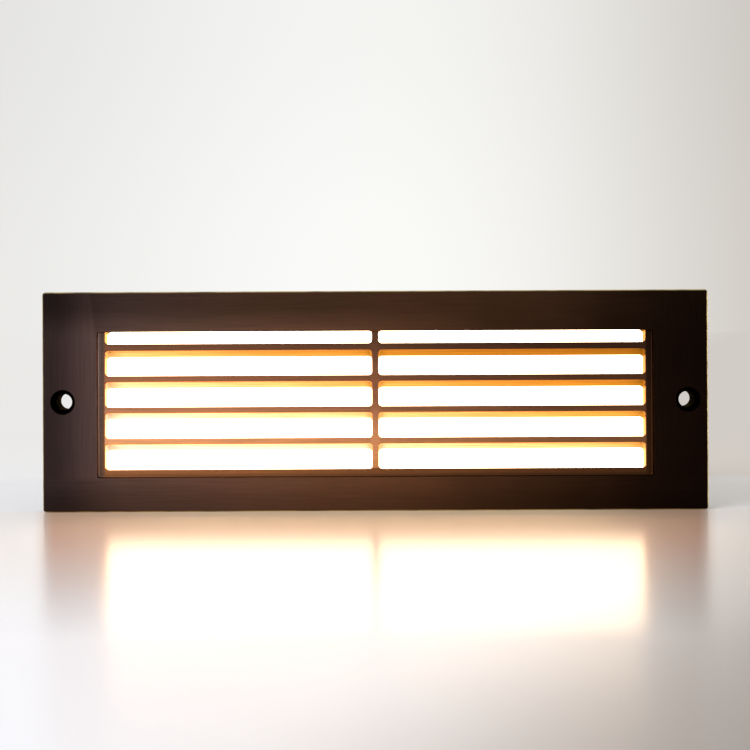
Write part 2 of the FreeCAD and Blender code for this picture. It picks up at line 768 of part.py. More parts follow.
def make_connector():
    # Two-pole connector on the board, with a release key for each lead in its front.
    body = make_body("board_connector")
    outline = make_sketch(body, "outline")
    draw_centred(outline, "Size.connector_length", "Size.connector_width", "Size.connector_corner_radius")
    extrude(body, outline, "Size.connector_height", inwards=False)
    keys = make_sketch(body, "keys", level="-Size.connector_height")
    for sign in ("-", ""):
        draw_circle(keys, "0", f"{sign}Size.led_lead_spread", "Size.connector_key_radius")
    cut(body, keys, "Size.connector_key_depth")
    place(body, connector_x, board_front, middle_level)
    return body


connector_x = f"(Size.connector_inset + Size.connector_length / 2 - {board_edge})"
board_connector = make_connector()


# ---- driver ----

def make_driver_case():
    # Shell with its open side towards the light, and one tab at each end.
    body = make_body("driver_case")
    outline = make_sketch(body, "outline")
    draw_centred(outline, "Size.driver_length", "Size.driver_width", "Size.driver_corner_radius")
    extrude(body, outline, "Size.driver_height", inwards=False)
    tabs = make_sketch(body, "tabs")
    root = "(Size.driver_length / 2 - Size.driver_wall / 2)"
    tip = "(Size.driver_length / 2 + Size.tab_length)"
    for left, right, level in ((f"-{tip}", f"-{root}", "-Size.tab_level"), (root, tip, "Size.tab_level")):
        low = f"{level} - Size.tab_width / 2"
        high = f"{level} + Size.tab_width / 2"
        draw_rounded(tabs, left, right, low, high, "Size.driver_corner_radius / 2")
    extrude(body, tabs, "Size.tab_thickness", inwards=False)
    inside = make_sketch(body, "inside", level="-Size.driver_height")
    wall = "2 * Size.driver_wall"
    inner_corner = "Size.driver_corner_radius / 2"
    draw_centred(inside, f"(Size.driver_length - {wall})", f"(Size.driver_width - {wall})", inner_corner)
    cut(body, inside, "Size.driver_height - Size.driver_wall")
    holes = make_sketch(body, "tab_holes", level="-Size.tab_thickness")
    for sign in ("-", ""):
        reach = "(Size.driver_length / 2 + Size.tab_length / 2)"
        draw_circle(holes, f"{sign}{reach}", f"{sign}Size.tab_level", screw_passage_radius)
    cut(body, holes, "Size.tab_thickness")
    place(body, "Size.driver_middle", back_inside, middle_level)
    return body


def make_driver_fill(label, front, thickness):
    # A block that fills the driver's case from wall to wall.
    body = make_body(label)
    outline = make_sketch(body, "outline")
    wall = "2 * Size.driver_wall"
    inner_corner = "Size.driver_corner_radius / 2"
    draw_centred(outline, f"(Size.driver_length - {wall})", f"(Size.driver_width - {wall})", inner_corner)
    extrude(body, outline, thickness)
    place(body, "Size.driver_middle", front, middle_level)
    return body


driver_case = make_driver_case()
driver_board_front = f"({back_inside} - Size.driver_wall - Size.driver_board_thickness)"
potting_front = f"({back_inside} - Size.driver_height + Size.potting_setback)"
driver_circuit_board = make_driver_fill(
    "driver_circuit_board", driver_board_front, "Size.driver_board_thickness"
)
driver_potting = make_driver_fill("driver_potting", potting_front, f"{driver_board_front} - {potting_front}")
tab_screw = make_screw("tab_screw_master", "Size.tab_thickness + Size.wall_fixed_screw_bite")
tab_screw_level = f"{back_inside} - Size.tab_thickness"
driver_screws = make_group(
    "driver_screws", tab_screw, [(x, tab_screw_level, f"{middle_level} + {z}") for x, z in driver_screw_spots]
)


# ---- terminal block and earth point ----

wiring_level = f"({back_inside} - Size.wiring_height)"
terminal_left = "(Size.terminal_middle - Size.terminal_length / 2)"
poles = int(number("Size.terminal_poles"))
pole_levels = [f"(({pole} - (Size.terminal_poles - 1) / 2) * Size.terminal_pitch)" for pole in range(poles)]


def make_terminal_block():
    # Base with an ear, a tower over each pole, and an entry on both sides of each.
    body = make_body("terminal_block")
    base = make_sketch(body, "base")
    half = "Size.terminal_length / 2"
    corner = "Size.terminal_corner_radius"
    draw_rounded(base, f"-{half}", half, f"-{terminal_width} / 2", f"{terminal_width} / 2", corner)
    extrude(body, base, "Size.terminal_base_height", inwards=False)
    ear = make_sketch(body, "ear")
    low = f"-{terminal_width} / 2 - Size.terminal_ear"
    high = f"Size.terminal_ear_overlap - {terminal_width} / 2"
    draw_rounded(ear, f"-{half} / 2", f"{half} / 2", low, high, corner)
    extrude(body, ear, "Size.terminal_ear_height", inwards=False)
    towers = make_sketch(body, "towers")
    pits = make_sketch(body, "pits", level="-Size.terminal_base_height - Size.terminal_tower_height")
    for level in pole_levels:
        reach = "Size.terminal_tower_length / 2"
        rise = "Size.terminal_tower_width / 2"
        draw_rounded(towers, f"-{reach}", reach, f"{level} - {rise}", f"{level} + {rise}", corner)
        draw_circle(pits, "0", level, "Size.terminal_screw_radius + Size.thread_clearance")
    extrude(body, towers, "Size.terminal_base_height + Size.terminal_tower_height", inwards=False)
    cut(body, pits, "Size.terminal_screw_length + Size.terminal_screw_sink")
    hole = make_sketch(body, "ear_hole", level="-Size.terminal_ear_height")
    draw_circle(hole, "0", f"-{terminal_width} / 2 - Size.terminal_ear / 2", screw_passage_radius)
    cut(body, hole, "Size.terminal_ear_height")
    entries = make_sketch(body, "entries", "YZ_Plane", level=half)
    for level in pole_levels:
        draw_circle(entries, "-Size.wiring_height", level, "Size.lead_radius + 2 * Size.lead_end_room")
    supply = cut(body, entries, "Size.terminal_entry_depth")
    supply.Reversed = False
    fixture = make_sketch(body, "fixture_entries", "YZ_Plane", level=f"-{half}")
    for level in pole_levels:
        draw_circle(fixture, "-Size.wiring_height", level, "Size.lead_radius + 2 * Size.lead_end_room")
    inner = cut(body, fixture, "Size.terminal_entry_depth")
    inner.Reversed = True
    place(body, "Size.terminal_middle", back_inside, middle_level)
    return body


def make_clamp_screw():
    # Slotted grub screw of a terminal, along Y from its outer end.
    body = make_body("clamp_screw_master")
    outline = make_sketch(body, "outline")
    draw_circle(outline, "0", "0", "Size.terminal_screw_radius")
    extrude(body, outline, "Size.terminal_screw_length")
    slot = make_sketch(body, "slot")
    half = "Size.terminal_slot_width / 2"
    reach = "Size.terminal_screw_radius + Size.terminal_slot_width"
    draw_polygon(slot, ((f"-{reach}", f"-{half}"), (reach, f"-{half}"), (reach, half), (f"-{reach}", half)))
    cut(body, slot, "Size.terminal_slot_depth")
    return body


terminal_block = make_terminal_block()
tower_top = f"({back_inside} - Size.terminal_base_height - Size.terminal_tower_height)"
clamp_spots = [
    ("Size.terminal_middle", f"{tower_top} + Size.terminal_screw_sink", f"{middle_level} + {level}")
    for level in pole_levels
]
terminal_clamp_screws = make_group("terminal_clamp_screws", make_clamp_screw(), clamp_spots)
ear_screw_length = "Size.terminal_ear_height + Size.wall_fixed_screw_bite"
terminal_block_screw = make_screw("terminal_block_screw", ear_screw_length)
place(
    terminal_block_screw,
    terminal_screw_spot[0],
    f"{back_inside} - Size.terminal_ear_height",
    f"{middle_level} + {terminal_screw_spot[1]}",
)

ring_front = f"({back_inside} - Size.earth_boss_height - Size.ring_thickness)"
barrel_end = "(Size.earth_x + Size.ring_radius + Size.barrel_length)"


def make_ring_terminal():
    # Crimp ring on the earth boss: a flat eye, and a barrel at the level of the leads.
    body = make_body("earth_ring_terminal")
    eye = make_sketch(body, "eye")
    draw_circle(eye, "0", "0", "Size.ring_radius")
    extrude(body, eye, "Size.ring_thickness")
    tongue = make_sketch(body, "tongue")
    reach = "Size.ring_radius + Size.barrel_length / 2"
    half = "Size.barrel_radius"
    start = "Size.ring_radius / 2"
    draw_polygon(tongue, ((start, f"-{half}"), (reach, f"-{half}"), (reach, half), (start, half)))
    extrude(body, tongue, "Size.ring_thickness")
    barrel = make_sketch(body, "barrel", "YZ_Plane", level="Size.ring_radius + Size.thread_end_room / 2")
    draw_circle(barrel, f"{wiring_level} - {ring_front}", "0", "Size.barrel_radius")
    extrude(body, barrel, "Size.barrel_length - Size.thread_end_room / 2").Reversed = False
    hole = make_sketch(body, "hole")
    draw_circle(hole, "0", "0", screw_passage_radius)
    cut(body, hole, "Size.ring_thickness")
    place(body, "Size.earth_x", ring_front, f"{middle_level} + Size.earth_level")
    return body


earth_ring_terminal = make_ring_terminal()
earth_thread = "Size.earth_boss_height + Size.wall_fixed_screw_bite - Size.thread_end_room / 2"
earth_screw = make_screw("earth_screw", f"(Size.ring_thickness + {earth_thread})")
place(earth_screw, "Size.earth_x", ring_front, f"{middle_level} + Size.earth_level")


# ---- leads ----

def make_grommet():
    # Rubber bush in the carrier plate, with a lip on both faces.
    body = make_body("lead_grommet")
    front = "(-Size.grommet_lip_thickness)"
    back = "(Size.carrier_thickness + Size.grommet_lip_thickness)"
    profile = make_sketch(body, "profile", "XY_Plane")
    draw_polygon(profile, (
        ("Size.grommet_bore_radius", front),
        (grommet_lip_radius, front),
        (grommet_lip_radius, "0"),
        (grommet_seat, "0"),
        (grommet_seat, "Size.carrier_thickness"),
        (grommet_lip_radius, "Size.carrier_thickness"),
        (grommet_lip_radius, back),
        ("Size.grommet_bore_radius", back),
    ))
    revolve(body, profile)
    place(body, grommet_x, carrier_front, middle_level)
    return body


def make_lead(label, route, bend="Size.lead_bend"):
    # A round lead along straight runs joined by tangent arcs, in the order of its points.
    points = [Vector(*(number(e) for e in point)) for point in route]
    radius = number(bend)
    edges = []
    start = points[0]
    for before, corner, after in zip(points, points[1:], points[2:]):
        back = (before - corner).normalize()
        ahead = (after - corner).normalize()
        half_angle = back.getAngle(ahead) / 2
        setback = radius / math.tan(half_angle)
        bisector = (back + ahead).normalize()
        centre = corner + bisector * (radius / math.sin(half_angle))
        arc_start = corner + back * setback
        arc_end = corner + ahead * setback
        edges.append(Part.LineSegment(start, arc_start).toShape())
        edges.append(Part.Arc(arc_start, centre - bisector * radius, arc_end).toShape())
        start = arc_end
    edges.append(Part.LineSegment(start, points[-1]).toShape())
    path = Part.Wire(edges)
    direction = points[1] - points[0]
    section = Part.Wire(Part.makeCircle(number("Size.lead_radius"), points[0], direction))
    lead = doc.addObject("Part::Feature", label)
    lead.Label = label
    lead.Shape = path.makePipeShell([section], True, False)
    return lead


lead_grommet = make_grommet()
connector_face = f"({connector_x} - Size.connector_length / 2 - Size.lead_end_room)"
connector_level = f"({board_front} - Size.connector_height / 2)"
driver_left_face = f"({driver_left} - Size.lead_end_room)"
driver_right_face = f"({driver_right} + Size.lead_end_room)"
terminal_face = f"({terminal_left} - Size.lead_end_room)"
led_leads = []
for label, sign in (("led_lead_positive", "+"), ("led_lead_negative", "-")):
    z = f"{middle_level} {sign} Size.led_lead_spread"
    led_leads.append(make_lead(label, (
        (connector_face, connector_level, z),
        (grommet_x, connector_level, z),
        (grommet_x, "Size.led_lead_level", z),
        (driver_left_face, "Size.led_lead_level", z),
    )))
driver_leads = []
for label, pole, side in (("driver_live_lead", 0, "-"), ("driver_neutral_lead", 1, "+")):
    start = f"{middle_level} + {pole_levels[pole]} {side} Size.driver_lead_offset"
    end = f"{middle_level} + {pole_levels[pole]}"
    third = f"(({terminal_face} - {driver_right_face}) / 3)"
    driver_leads.append(make_lead(label, (
        (driver_right_face, wiring_level, start),
        (f"{driver_right_face} + {third}", wiring_level, start),
        (f"{terminal_face} - {third}", wiring_level, end),
        (terminal_face, wiring_level, end),
    )))
earth_turn = f"(({barrel_end} + {terminal_face}) / 2)"
earth_level = f"({middle_level} + Size.earth_level)"
earth_pole = f"({middle_level} + {pole_levels[-1]})"
earth_lead = make_lead("earth_lead", (
    (f"{barrel_end} + Size.lead_end_room", wiring_level, earth_level),
    (earth_turn, wiring_level, earth_level),
    (earth_turn, wiring_level, earth_pole),
    (terminal_face, wiring_level, earth_pole),
), "Size.earth_lead_bend")


# ---- cable gland ----

gland_washer_front = "Size.housing_depth"
shoulder = "(Size.housing_depth + Size.gland_washer_thickness)"
hex_points = hexagon_points("Size.gland_hex_radius")


def make_round(label, y, steps):
    # A turned piece on the gland's axis, from pairs of radius and level along Y.
    body = make_body(label)
    profile = make_sketch(body, "profile", "XY_Plane")
    draw_polygon(profile, steps)
    revolve(body, profile)
    place(body, "Size.gland_x", y, middle_level)
    return body


def make_gland_body():
    inside = f"(-{shoulder} + {back_inside} - Size.gland_thread_inside)"
    collet_end = "(Size.gland_hex_length + Size.gland_collet_length)"
    body = make_round("gland_body", shoulder, (
        ("Size.gland_bore_radius", inside),
        ("Size.gland_thread_radius - Size.screw_chamfer", inside),
        ("Size.gland_thread_radius", f"{inside} + Size.screw_chamfer"),
        ("Size.gland_thread_radius", "0"),
        ("Size.gland_collet_radius", "Size.gland_hex_length / 2"),
        ("Size.gland_collet_radius", collet_end),
        ("Size.gland_bore_radius", collet_end),
    ))
    hexagon = make_sketch(body, "hexagon")
    draw_polygon(hexagon, hex_points)
    draw_circle(hexagon, "0", "0", "Size.gland_bore_radius")
    extrude(body, hexagon, "Size.gland_hex_length")
    return body


gland_body = make_gland_body()
washer_bore = "Size.gland_thread_radius + Size.gland_thread_room"
gland_washer = make_round("gland_washer", gland_washer_front, (
    (washer_bore, "0"),
    ("Size.gland_washer_radius", "0"),
    ("Size.gland_washer_radius", "Size.gland_washer_thickness"),
    (washer_bore, "Size.gland_washer_thickness"),
))


def make_locknut():
    body = make_body("gland_locknut")
    hexagon = make_sketch(body, "hexagon")
    draw_polygon(hexagon, hex_points)
    draw_circle(hexagon, "0", "0", washer_bore)
    extrude(body, hexagon, "Size.locknut_thickness", inwards=False)
    place(body, "Size.gland_x", back_inside, middle_level)
    return body


def make_gland_nut():
    # Dome nut over the collet, with a mouth for the cable in its outer face.
    body = make_body("gland_nut")
    hexagon = make_sketch(body, "hexagon")
    draw_polygon(hexagon, hex_points)
    extrude(body, hexagon, "Size.gland_nut_length")
    cone = make_sketch(body, "cone", "XY_Plane")
    draw_polygon(cone, (
        ("Size.gland_hex_radius - Size.gland_nut_cone_reach", "Size.gland_nut_length"),
        ("Size.gland_hex_radius", "Size.gland_nut_length - Size.gland_nut_chamfer"),
        ("Size.gland_hex_radius + Size.gland_nut_chamfer", "Size.gland_nut_length"),
    ))
    revolve(body, cone, "Groove")
    bore = make_sketch(body, "bore")
    draw_circle(bore, "0", "0", "Size.gland_collet_radius + Size.thread_clearance")
    cut(body, bore, "Size.gland_nut_length - Size.gland_nut_face")
    mouth = make_sketch(body, "mouth")
    draw_circle(mouth, "0", "0", "Size.gland_nut_mouth_radius")
    cut(body, mouth, "Size.gland_nut_length")
    place(body, "Size.gland_x", f"{shoulder} + Size.gland_hex_length + Size.gland_nut_gap", middle_level)
    return body


gland_locknut = make_locknut()
gland_nut = make_gland_nut()
nut_face_inside = (
    f"({shoulder} + Size.gland_hex_length + Size.gland_nut_gap + Size.gland_nut_length - Size.gland_nut_face)"
)
seal_outer = "Size.gland_bore_radius - Size.thread_clearance"
gland_seal = make_round("gland_seal", f"{nut_face_inside} - Size.seal_length", (
    ("Size.seal_bore_radius", "0"),
    (seal_outer, "0"),
    (seal_outer, "Size.seal_length"),
    ("Size.seal_bore_radius", "Size.seal_length"),
))


# ---- checks and export ----

nodes = (
    [faceplate, lens, housing, body_screws, reflector, carrier_plate, carrier_screws]
    + gaskets
    + [thermal_pad, led_board, led_packages, led_board_screws, board_connector]
    + [driver_case, driver_circuit_board, driver_potting, driver_screws]
    + [terminal_block, terminal_clamp_screws, terminal_block_screw]
    + [earth_screw, earth_ring_terminal, earth_lead, lead_grommet]
    + led_leads
    + driver_leads
    + [gland_body, gland_washer, gland_locknut, gland_nut, gland_seal]
)

doc.recompute()
for thing in doc.Objects:
    if "Invalid" in thing.State or "Error" in thing.State:
        raise RuntimeError(f"{thing.Name} failed: {thing.State}")
for node in nodes:
    if node.Shape.isNull() or not node.Shape.isValid():
        raise RuntimeError(f"{node.Label} has no valid shape")

os.makedirs("parts", exist_ok=True)
for node in nodes:
    node.Shape.exportStep(f"parts/{node.Label}.step")
    box = node.Shape.BoundBox
    corners = ((box.XMin, box.XMax), (box.YMin, box.YMax), (box.ZMin, box.ZMax))
    extent = ", ".join(f"{axis} {low:.2f}..{high:.2f}" for axis, (low, high) in zip("xyz", corners))
    print(f"{node.Label}: {len(node.Shape.Solids)} solid(s), {node.Shape.Volume:.1f} mm3, {extent}")
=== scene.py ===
import math
import bmesh
import bpy
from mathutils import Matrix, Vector


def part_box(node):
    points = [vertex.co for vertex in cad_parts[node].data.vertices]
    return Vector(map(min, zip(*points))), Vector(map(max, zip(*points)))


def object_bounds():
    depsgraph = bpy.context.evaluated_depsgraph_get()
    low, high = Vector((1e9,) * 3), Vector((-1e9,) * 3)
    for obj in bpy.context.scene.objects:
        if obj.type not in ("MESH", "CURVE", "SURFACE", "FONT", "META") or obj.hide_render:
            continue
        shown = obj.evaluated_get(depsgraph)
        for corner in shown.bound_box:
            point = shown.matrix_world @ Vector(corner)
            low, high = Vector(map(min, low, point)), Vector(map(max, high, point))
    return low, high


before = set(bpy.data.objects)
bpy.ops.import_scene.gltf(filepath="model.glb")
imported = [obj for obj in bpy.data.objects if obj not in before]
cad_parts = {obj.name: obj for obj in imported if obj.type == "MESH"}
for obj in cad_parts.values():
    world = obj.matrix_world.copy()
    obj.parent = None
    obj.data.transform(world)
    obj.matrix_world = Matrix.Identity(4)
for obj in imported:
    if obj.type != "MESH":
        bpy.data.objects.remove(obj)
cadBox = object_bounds()
mm = 0.001
scene = bpy.context.scene
print("frame loaded:", len(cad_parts), "CAD nodes")


def linearColour(hexColour):
    # sRGB hex to the linear values that the shaders take
    channels = [int(hexColour[i:i + 2], 16) / 255 for i in (1, 3, 5)]
    return [c / 12.92 if c <= 0.04045 else ((c + 0.055) / 1.055) ** 2.4 for c in channels] + [1.0]


# settings that many nodes share; a Mix node takes its factor at 0, numbers at 2 and 3 and colours
# at 6 and 7, and gives a mixed number at 0 and a mixed colour at 2
smooth = {"interpolation_type": "SMOOTHSTEP"}
inColour = {"data_type": "RGBA", "output": 2}
noiseRange = (0.3, 0.7)     # most of a noise lies between these


def addNode(tree, kind, inputs=(), output=0, **settings):
    # one node with its settings and its inputs, in order or by socket: each is a value, a hex colour
    # or a link. It gives one of its outputs, or the node itself where output is None
    node = tree.nodes.new("ShaderNode" + kind)
    for name, value in settings.items():
        setattr(node, name, value)
    for socket, value in inputs.items() if isinstance(inputs, dict) else enumerate(inputs):
        if isinstance(value, bpy.types.NodeSocket):
            tree.links.new(value, node.inputs[socket])
        else:
            node.inputs[socket].default_value = linearColour(value) if isinstance(value, str) else value
    return node if output is None else node.outputs[output]


def newMaterial(name, **sockets):
    # a Principled material whose all-over values sit on its own sockets
    material = bpy.data.materials.new(name)
    material.use_nodes = True
    tree = material.node_tree
    shader = tree.nodes["Principled BSDF"]
    for socket, value in sockets.items():
        shader.inputs[socket.replace("_", " ")].default_value = value
    return material, tree, shader, addNode(tree, "TexCoord", output="Object")


def grain(tree, place, size, stretch=(1, 1, 1), detail=2.0):
    # noise with cells about size across, in metres, drawn out along the axes by stretch
    scale = [1 / (size * s) for s in stretch]
    sized = addNode(tree, "Mapping", {"Vector": place, "Scale": scale})
    return addNode(tree, "TexNoise", {"Vector": sized, "Scale": 1.0, "Detail": detail}, "Fac")


def spread(tree, value, low, high, *colours):
    # colours evenly spaced along a value
    node = addNode(tree, "ValToRGB", (addNode(tree, "MapRange", (value, low, high)),), None)
    node.color_ramp.interpolation = "B_SPLINE"
    stops = node.color_ramp.elements
    while len(stops) < len(colours):
        stops.new(0.5)
    for index, (stop, colour) in enumerate(zip(stops, colours)):
        stop.position = index / (len(colours) - 1)
        stop.color = linearColour(colour)
    return node.outputs["Color"]


def darken(tree, colour, factor):
    # a colour times a grey level
    level = addNode(tree, "CombineColor", (factor, factor, factor))
    return addNode(tree, "Mix", {0: 1.0, 6: colour, 7: level}, blend_type="MULTIPLY", **inColour)


def times(tree, first, *others):
    # several values multiplied
    for other in others:
        first = addNode(tree, "Math", (first, other), operation="MULTIPLY")
    return first


def fromAxis(tree, x, z):
    # how far a point is from an axis along Y, from its x and z beside that axis
    beside = addNode(tree, "CombineXYZ", {"X": x, "Z": z})
    return addNode(tree, "VectorMath", (beside,), "Value", operation="LENGTH")


def setLinks(tree, shader, **outputs):
    for socket, output in outputs.items():
        tree.links.new(output, shader.inputs[socket.replace("_", " ")])


def dress(material, *names):
    for name in names:
        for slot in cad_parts[name].material_slots:
            slot.material = material


# the faceplate: cast brass, brushed, with a dark bronze patina

plateLow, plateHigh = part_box("faceplate")
plateFront = plateLow.y
halfPlate = plateHigh.x
halfHeight = plateHigh.z

bronze = {
    "recessSide": 98.3 * mm,       # half the width of the sunk panel
    "recessTop": 24.65 * mm,
    "recessFoot": -26.85 * mm,
    "recessDepth": 2.4 * mm,
    "slotEnd": 95.8 * mm,          # from the middle to the slots' outer ends
    "firstBlade": 20.4 * mm,
    "sill": -23.95 * mm,
    "halfUpright": 1.2 * mm,
    "holeSpacing": 110.35 * mm,    # from the middle to each wall hole
    "holeRadius": 4.45 * mm,
    "streakWidth": 0.22 * mm,      # brush lines are near 0.1 mm; drawn coarser so that they show
    "streakLength": 90,            # times the width
    # patina with painted light and shade, left to right
    "patinaAndShade": ("#483a39", "#513d36", "#5f4334", "#573a28", "#3f2a1c", "#1e120b", "#0f0805"),  # left to right
    # the blades and the lip carry painted light, the blades lighter towards the sill
    "blades": ("#5e3f2f", "#976447", "#9a664a", "#eaa576", "#d4935f"),      # from the top blade down
    "lip": "#8f5e3b",
    # the ledge carries painted light on the left, painted shade on the right and a painted highlight
    "leftLedge": ("#5b4a43", "#6f5040", "#785741"),                         # top to bottom
    "rightLedge": ("#20140d", "#3a2417", "#402816"),
    "paintedLedgeHighlight": ("#786a69", "#6c5649"),
    # a painted highlight on the outer front edges
    "paintedEdgeHighlight": "#cbb985",
    # painted light inside the slots
    "slotBrassPaintedLight": ("#22120a", "#482b10", "#6a5228", "#8a7a6c", "#907f92"),   # upper right to lower left
    "slotFall": 67 * mm,           # the slots' shade runs its length over this height
    "slotReach": 356 * mm,         # or over this width
    "castBack": ("#4b382a", "#2c2019"),
    # painted shade inside the wall holes
    "holeShade": "#070302",
    "edgeTint": "#f8dbb8",         # what the brass shows at a glancing angle
    "roughness": (0.36, 0.46),
    "mitreSlope": 0.127,           # how far the line between the ends' and the bars' brushing leans
    "cloudSize": 30 * mm,
    "cloudShift": 60 * mm,         # how far the clouds shift the patina's colours
    "scoreWidth": 0.5 * mm,        # the tool marks in the slots
    "slotRange": (0.576, -0.424),  # the slots' shade, upper right to lower left
    # these seven levels are painted light and shade
    "leftPaintedShade": (0.43, 1.2),      # levels, from the first edge to the second
    "barPaintedShade": (0.4, 1.0),
    "topPaintedShade": (0.44, 1.05),
    "footPaintedLight": (1.22, 0.84),
    "bladePaintedLight": (1.15, 0.32),    # left to right
    "sillPaintedShade": (1.0, 0.55),
    "paintedShadeBesideUpright": (0.45, 1.0),
    "streakShade": (0.88, 1.12),
    "scoreShade": (0.72, 1.28),
    # painted light on the upright
    "uprightPaintedLight": 1.2,
    # painted shade at the slots' ends
    "slotEndPaintedShade": 0.6,
}


def bronzedBrass():
    # cast brass, brushed and chemically browned: a dark sheen drawn out along the brush lines, with painted
    # light and shade in its colour
    material, tree, shader, place = newMaterial(
        "bronzed_brushed_brass", Metallic=1.0, Specular_Tint=linearColour(bronze["edgeTint"]))
    axes = addNode(tree, "SeparateXYZ", (place,), None).outputs
    across = addNode(tree, "Math", (axes["X"],), operation="ABSOLUTE")
    side, top, foot = bronze["recessSide"], bronze["recessTop"], bronze["recessFoot"]
    slotEnd, sill, halfUpright = bronze["slotEnd"], bronze["sill"], bronze["halfUpright"]
    width, length = bronze["streakWidth"], bronze["streakLength"]

    # the ends are brushed up and down, the two bars and the blades from side to side
    endStreak = grain(tree, place, width, (1, 1, length), 3.0)
    barStreak = grain(tree, place, width, (length, 1, 1), 3.0)
    mitre = addNode(tree, "Math",
                    (addNode(tree, "Math", (axes["Z"], top), operation="SUBTRACT"), -bronze["mitreSlope"]),
                    operation="MULTIPLY")
    inEnd = addNode(tree, "MapRange",
                    (addNode(tree, "Math", (across, mitre)), side + 0.2 * mm, side + 0.9 * mm), **smooth)
    aboveFoot = addNode(tree, "MapRange", (axes["Z"], foot - 1.5 * mm, foot + 1 * mm), **smooth)
    onEnd = times(tree, inEnd, aboveFoot)
    streak = addNode(tree, "Mix", {0: onEnd, 2: barStreak, 3: endStreak})

    # patina with painted light and shade over it: grey-brown on the left, warm in the middle and almost black
    # on the right
    cloud = times(tree,
                  addNode(tree, "Math", (grain(tree, place, bronze["cloudSize"], (1.6, 1, 1), 3.0), 0.5),
                          operation="SUBTRACT"), bronze["cloudShift"])
    patinaAndShade = spread(tree, addNode(tree, "Math", (axes["X"], cloud)), -halfPlate, halfPlate, *bronze["patinaAndShade"])
    # painted shade: the left end darkens towards the plate's outer edge and lightens beside the recess, and
    # the bars darken towards the left
    leftPaintedShade = addNode(tree, "MapRange",
                        (axes["X"], 3 * mm - halfPlate, 2 * mm - side, *bronze["leftPaintedShade"]), **smooth)
    barPaintedShade = addNode(tree, "MapRange",
                       (axes["X"], 4 * mm - halfPlate, 12 * mm - side, *bronze["barPaintedShade"]), **smooth)
    patinaAndShade = darken(tree, patinaAndShade, addNode(tree, "Mix", {0: onEnd, 2: barPaintedShade, 3: leftPaintedShade}))
    # painted shade: the top bar darkens towards its upper edge, most on the left
    topPaintedShade = addNode(tree, "MapRange", (axes["X"], -20 * mm, 80 * mm, *bronze["topPaintedShade"]), **smooth)
    patinaAndShade = darken(tree, patinaAndShade,
                    addNode(tree, "MapRange", (axes["Z"], 22 * mm, 34 * mm, 1.0, topPaintedShade), **smooth))
    # painted light and shade: the bottom bar is lighter just under the recess and darker towards its lower
    # edge
    nearFoot = addNode(tree, "MapRange", (axes["Z"], foot, foot - 9 * mm, *bronze["footPaintedLight"]), **smooth)
    patinaAndShade = darken(tree, patinaAndShade, addNode(tree, "Mix", {0: onEnd, 2: nearFoot, 3: 1.0}))
    patinaAndShade = darken(tree, patinaAndShade,
                    addNode(tree, "MapRange", (streak, *noiseRange, *bronze["streakShade"]), **smooth))

    # a painted highlight along the outer front edges, uneven along their length
    onSide = addNode(tree, "MapRange", (across, halfPlate - 0.45 * mm, halfPlate - 0.15 * mm), **smooth)
    onTop = addNode(tree, "MapRange",
                    (addNode(tree, "Math", (axes["Z"],), operation="ABSOLUTE"), halfHeight - 0.45 * mm,
                     halfHeight - 0.15 * mm), **smooth)
    atFront = addNode(tree, "MapRange", (axes["Y"], plateFront + 1.4 * mm, plateFront + 0.2 * mm), **smooth)
    edgeHighlightMask = times(tree, addNode(tree, "Math", (onSide, onTop), operation="MAXIMUM"), atFront,
                   addNode(tree, "MapRange", (grain(tree, place, 9 * mm), 0.25, 0.6, 0.35, 1.0), **smooth))
    colour = addNode(tree, "Mix", {0: edgeHighlightMask, 6: patinaAndShade, 7: bronze["paintedEdgeHighlight"]}, **inColour)

    # painted light on the blades and the lip under them: lighter towards the sill and darker to the right,
    # the upright in their middle a little lighter, and painted shade at the lip's foot
    blades = spread(tree, axes["Z"], bronze["firstBlade"], sill, *bronze["blades"])
    blades = addNode(tree, "Mix",
                     {0: addNode(tree, "MapRange", (axes["Z"], sill + 0.3 * mm, sill - 0.2 * mm), **smooth),
                      6: blades, 7: bronze["lip"]}, **inColour)
    blades = darken(tree, blades,
                    addNode(tree, "MapRange", (axes["X"], -90 * mm, side, *bronze["bladePaintedLight"]), **smooth))
    inMiddle = times(tree, addNode(tree, "MapRange", (across, halfUpright + 1 * mm, halfUpright), **smooth),
                     addNode(tree, "MapRange", (axes["Z"], sill, sill + 1 * mm), **smooth))
    blades = darken(tree, blades, addNode(tree, "Mix", {0: inMiddle, 2: 1.0, 3: bronze["uprightPaintedLight"]}))
    blades = darken(tree, blades,
                    addNode(tree, "MapRange",
                            (axes["Z"], foot + 1.4 * mm, foot + 0.1 * mm, *bronze["sillPaintedShade"]), **smooth))

